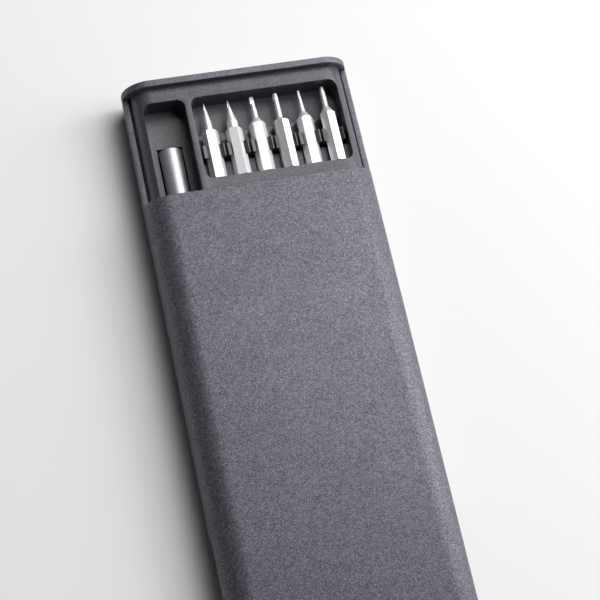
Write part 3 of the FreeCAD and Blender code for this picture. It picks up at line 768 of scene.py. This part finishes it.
def make_clip_strip(node, bits):
    """The strip's base, and a pair of hooked legs for each bit of its row."""
    low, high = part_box(node)
    axis_z = sum(corner.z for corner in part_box(bits[0])) / 2
    foot = (low.z - axis_z) / MM + STRIP_BAR_THICK - LEG_SINK
    back = low.y / MM + LEG_INSET
    front = low.y / MM + LEG_LENGTH - LEG_INSET
    pieces = [make_strip_base(low, high)]
    for bit in bits:
        centre = (sum(corner.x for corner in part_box(bit)) / 2, 0.0, axis_z)
        hook = HOOK_REACH_ROLLED if TIPS[bit][2] > TURNED_FAR else HOOK_REACH
        for side in (-1, 1):
            pieces.append(make_leg(centre, side, hook, back, front, foot))
    strip = join(pieces, node + "_strip")
    smooth(strip, 30)
    stand_for(strip, node, FINISHES["clip_plastic"])


# ---- the driver ----


def make_nose():
    """The plain front end: a satin tube with a rolled edge and the hexagonal socket in its end."""
    nose = copy_node("driver_nose", "driver_nose_body")
    break_edges(nose, 0.22 * MM, degrees=50)
    stand_for(nose, "driver_nose", FINISHES["driver_metal"])


GRIP_BANDS = 12
GRIP_FROM = 0.12
GRIP_SHARE = 0.76
GRIP_GROOVE = 0.22
GROOVE_PITCH = 1.2
BARREL_CHAMFER = 0.4
NOSE_BORE_RADIUS = 2.5
NOSE_BORE_DEPTH = 6.0
PIN_BORE_RADIUS = 1.0
PIN_BORE_DEPTH = 5.0


def make_barrel():
    """The grip, turned with fine rings in bands that leave plain lands between them."""
    low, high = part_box("driver_barrel")
    length = (high.y - low.y) / MM
    radius = (high.z - low.z) / MM / 2
    profile = [(0.0, radius - BARREL_CHAMFER), (BARREL_CHAMFER, radius)]
    start = length * GRIP_FROM
    pitch = length * GRIP_SHARE / GRIP_BANDS
    for band in range(GRIP_BANDS):
        foot = start + band * pitch
        rings = [(0.0, 0.0), (0.2, GRIP_GROOVE), (0.5, GRIP_GROOVE), (0.7, 0.0)]
        for shift in (0.0, GROOVE_PITCH):
            profile += [(foot + shift + up, radius - deep) for up, deep in rings]
    profile += [(length - BARREL_CHAMFER, radius), (length, radius - BARREL_CHAMFER)]
    barrel = round_body("driver_barrel_body", profile, sides=64)
    bore = bar("bore", 48, NOSE_BORE_RADIUS, length - NOSE_BORE_DEPTH, length + 1.0)
    pin_bore = bar("pin_bore", 32, PIN_BORE_RADIUS, -1.0, PIN_BORE_DEPTH)
    combine(barrel, [bore, pin_bore], "DIFFERENCE")
    lay_along_y(barrel, (low.x + high.x) / 2, low.y, (low.z + high.z) / 2)
    smooth(barrel, 30)
    stand_for(barrel, "driver_barrel", FINISHES["driver_metal"])


def make_tail_cap():
    """The finger rest, with rolled edges."""
    cap = copy_node("driver_tail_cap", "driver_tail_cap_body")
    break_edges(cap, 0.3 * MM, degrees=50, segments=4)
    stand_for(cap, "driver_tail_cap", FINISHES["driver_metal"])


# ---- the tray's screws ----

SCREW_HEAD_RADIUS = 1.6
SCREW_HEAD_HEIGHT = 0.9
SCREW_HEAD_CHAMFER = 0.15
SCREW_RADIUS = 0.8
SCREW_POINT = 0.5
RECESS_DEPTH = 0.6
RECESS_REACH = 0.9
RECESS_HALF = 0.17


def make_screws():
    """Four flush pan-head screws with cross recesses, driven up through the shell's floor."""
    low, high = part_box("tray_screws")
    length = (high.z - low.z) / MM
    profile = [
        (0.0, SCREW_HEAD_RADIUS - SCREW_HEAD_CHAMFER),
        (SCREW_HEAD_CHAMFER, SCREW_HEAD_RADIUS),
        (SCREW_HEAD_HEIGHT, SCREW_HEAD_RADIUS),
        (SCREW_HEAD_HEIGHT + HAIR, SCREW_RADIUS),
        (length - SCREW_POINT, SCREW_RADIUS),
        (length, SCREW_RADIUS / 2),
    ]
    first = round_body("tray_screw", profile)
    arms = []
    for across, along in ((RECESS_REACH, RECESS_HALF), (RECESS_HALF, RECESS_REACH)):
        arms.append(block("recess", (-across, -along, -1.0), (across, along, RECESS_DEPTH)))
    combine(first, arms, "DIFFERENCE")
    smooth(first, 30)
    inset = SCREW_HEAD_RADIUS * MM
    screws = []
    for x in (low.x + inset, high.x - inset):
        for y in (low.y + inset, high.y - inset):
            screw = bpy.data.objects.new("tray_screw", first.data.copy())
            bpy.context.collection.objects.link(screw)
            screw.scale = (MM, MM, MM)
            screw.location = (x, y, low.z)
            seat(screw)
            screws.append(screw)
    bpy.data.objects.remove(first)
    group = join(screws, "tray_screws_set")
    stand_for(group, "tray_screws", FINISHES["screw_steel"])


# ---- the case ----

BITS_IN_ROW = 6
EDGE_RADIUS = {
    "sliding_cover": 0.3,
    "cover_end_wall": 0.3,
    "case_shell": 0.2,
    "bit_tray": 0.18,
    "end_cap": 0.12,
}


def make_case():
    """The shells, the tray and the cap, each with its edges broken."""
    for node, radius in EDGE_RADIUS.items():
        softened(node, node + "_body", radius * MM, FINISHES[SLOT_OF[node]])


def rows():
    """The bits' names, row by row, in the order in which they lie."""
    bits = sorted(TIPS, key=lambda node: -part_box(node)[0].y)
    starts = range(0, len(bits), BITS_IN_ROW)
    return [sorted(bits[i : i + BITS_IN_ROW], key=lambda node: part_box(node)[0].x) for i in starts]


def dress_kept_nodes(nodes):
    """Give each CAD node that stays its own finish."""
    for node in nodes:
        for holder in frame["nodes"][node].material_slots:
            holder.material = FINISHES[SLOT_OF[node]]


make_case()
for number, bits in enumerate(rows(), start=1):
    make_clip_strip(f"clip_strip_{number}", bits)
for bit in TIPS:
    make_bit(bit)
make_nose()
make_barrel()
make_tail_cap()
make_screws()
dress_kept_nodes(["socket_magnet", "tail_bearing", "tail_pin"])


# ---- floor, light and camera ----

FACE_Z = CAD_BOX[1].z
AIM = Vector((2.902 * MM, 9.776 * MM, FACE_Z))
VIEW_AZIMUTH = -34.02
VIEW_ELEVATION = 69.62
VIEW_DISTANCE = 0.3888
VIEW_ROLL = 22.83
LENS = 90.0
SENSOR = 36.0
SKY_STRENGTH = 0.03


def make_floor():
    """A wide pale floor just under the case."""
    bpy.ops.mesh.primitive_plane_add(size=4.0, location=(0, 0, -0.02 * MM))
    floor = bpy.context.object
    floor.name = "studio_floor"
    finish, tree, shader = new_finish("pale floor", 0.0)
    cloud = object_noise(tree, 6.0, 2.0)
    tone = mix_colours(tree, cloud, (0.92, 0.92, 0.92), (0.95, 0.95, 0.95))
    tree.links.new(tone, shader.inputs["Base Color"])
    shader.inputs["Roughness"].default_value = 0.9
    floor.data.materials.append(finish)


def make_light(name, direction, distance, size, power):
    """A soft rectangular lamp that faces the object from a direction."""
    away = Vector(direction).normalized()
    bpy.ops.object.light_add(type="AREA", location=AIM + away * distance)
    light = bpy.context.object
    light.name = name
    light.data.shape = "RECTANGLE"
    light.data.size, light.data.size_y = size
    light.data.energy = power
    light.rotation_mode = "QUATERNION"
    light.rotation_quaternion = away.to_track_quat("Z", "Y")


def make_lights():
    """A large lamp above, a smaller one low on the right and a faint sky."""
    make_light("main_softbox", direction=(0.5, 0.36, 0.8), distance=1.0, size=(1.1, 0.9), power=12.2)
    make_light("side_softbox", direction=(0.95, 0.1, 0.36), distance=1.1, size=(0.6, 0.9), power=7.0)
    world = bpy.data.worlds.new("studio")
    bpy.context.scene.world = world
    world.use_nodes = True
    sky = world.node_tree.nodes["Background"]
    sky.inputs["Color"].default_value = (1.0, 1.0, 1.0, 1.0)
    sky.inputs["Strength"].default_value = SKY_STRENGTH
    bpy.context.scene.view_settings.view_transform = "Standard"


def make_camera():
    """The camera, aimed at the case's face and rolled about its own axis."""
    azimuth, elevation = math.radians(VIEW_AZIMUTH), math.radians(VIEW_ELEVATION)
    level = math.cos(elevation)
    back = Vector((math.sin(azimuth) * level, -math.cos(azimuth) * level, math.sin(elevation)))
    bpy.ops.object.camera_add(location=AIM + back * VIEW_DISTANCE)
    camera = bpy.context.object
    camera.data.sensor_width = SENSOR
    camera.data.lens = LENS
    camera.rotation_mode = "QUATERNION"
    camera.rotation_quaternion = (-back).to_track_quat("-Z", "Y")
    bpy.context.view_layer.update()
    roll = Matrix.Rotation(math.radians(VIEW_ROLL), 3, "Z")
    camera.rotation_quaternion = (camera.rotation_quaternion.to_matrix() @ roll).to_quaternion()
    bpy.context.scene.camera = camera


deselect()
make_floor()
make_lights()
make_camera()
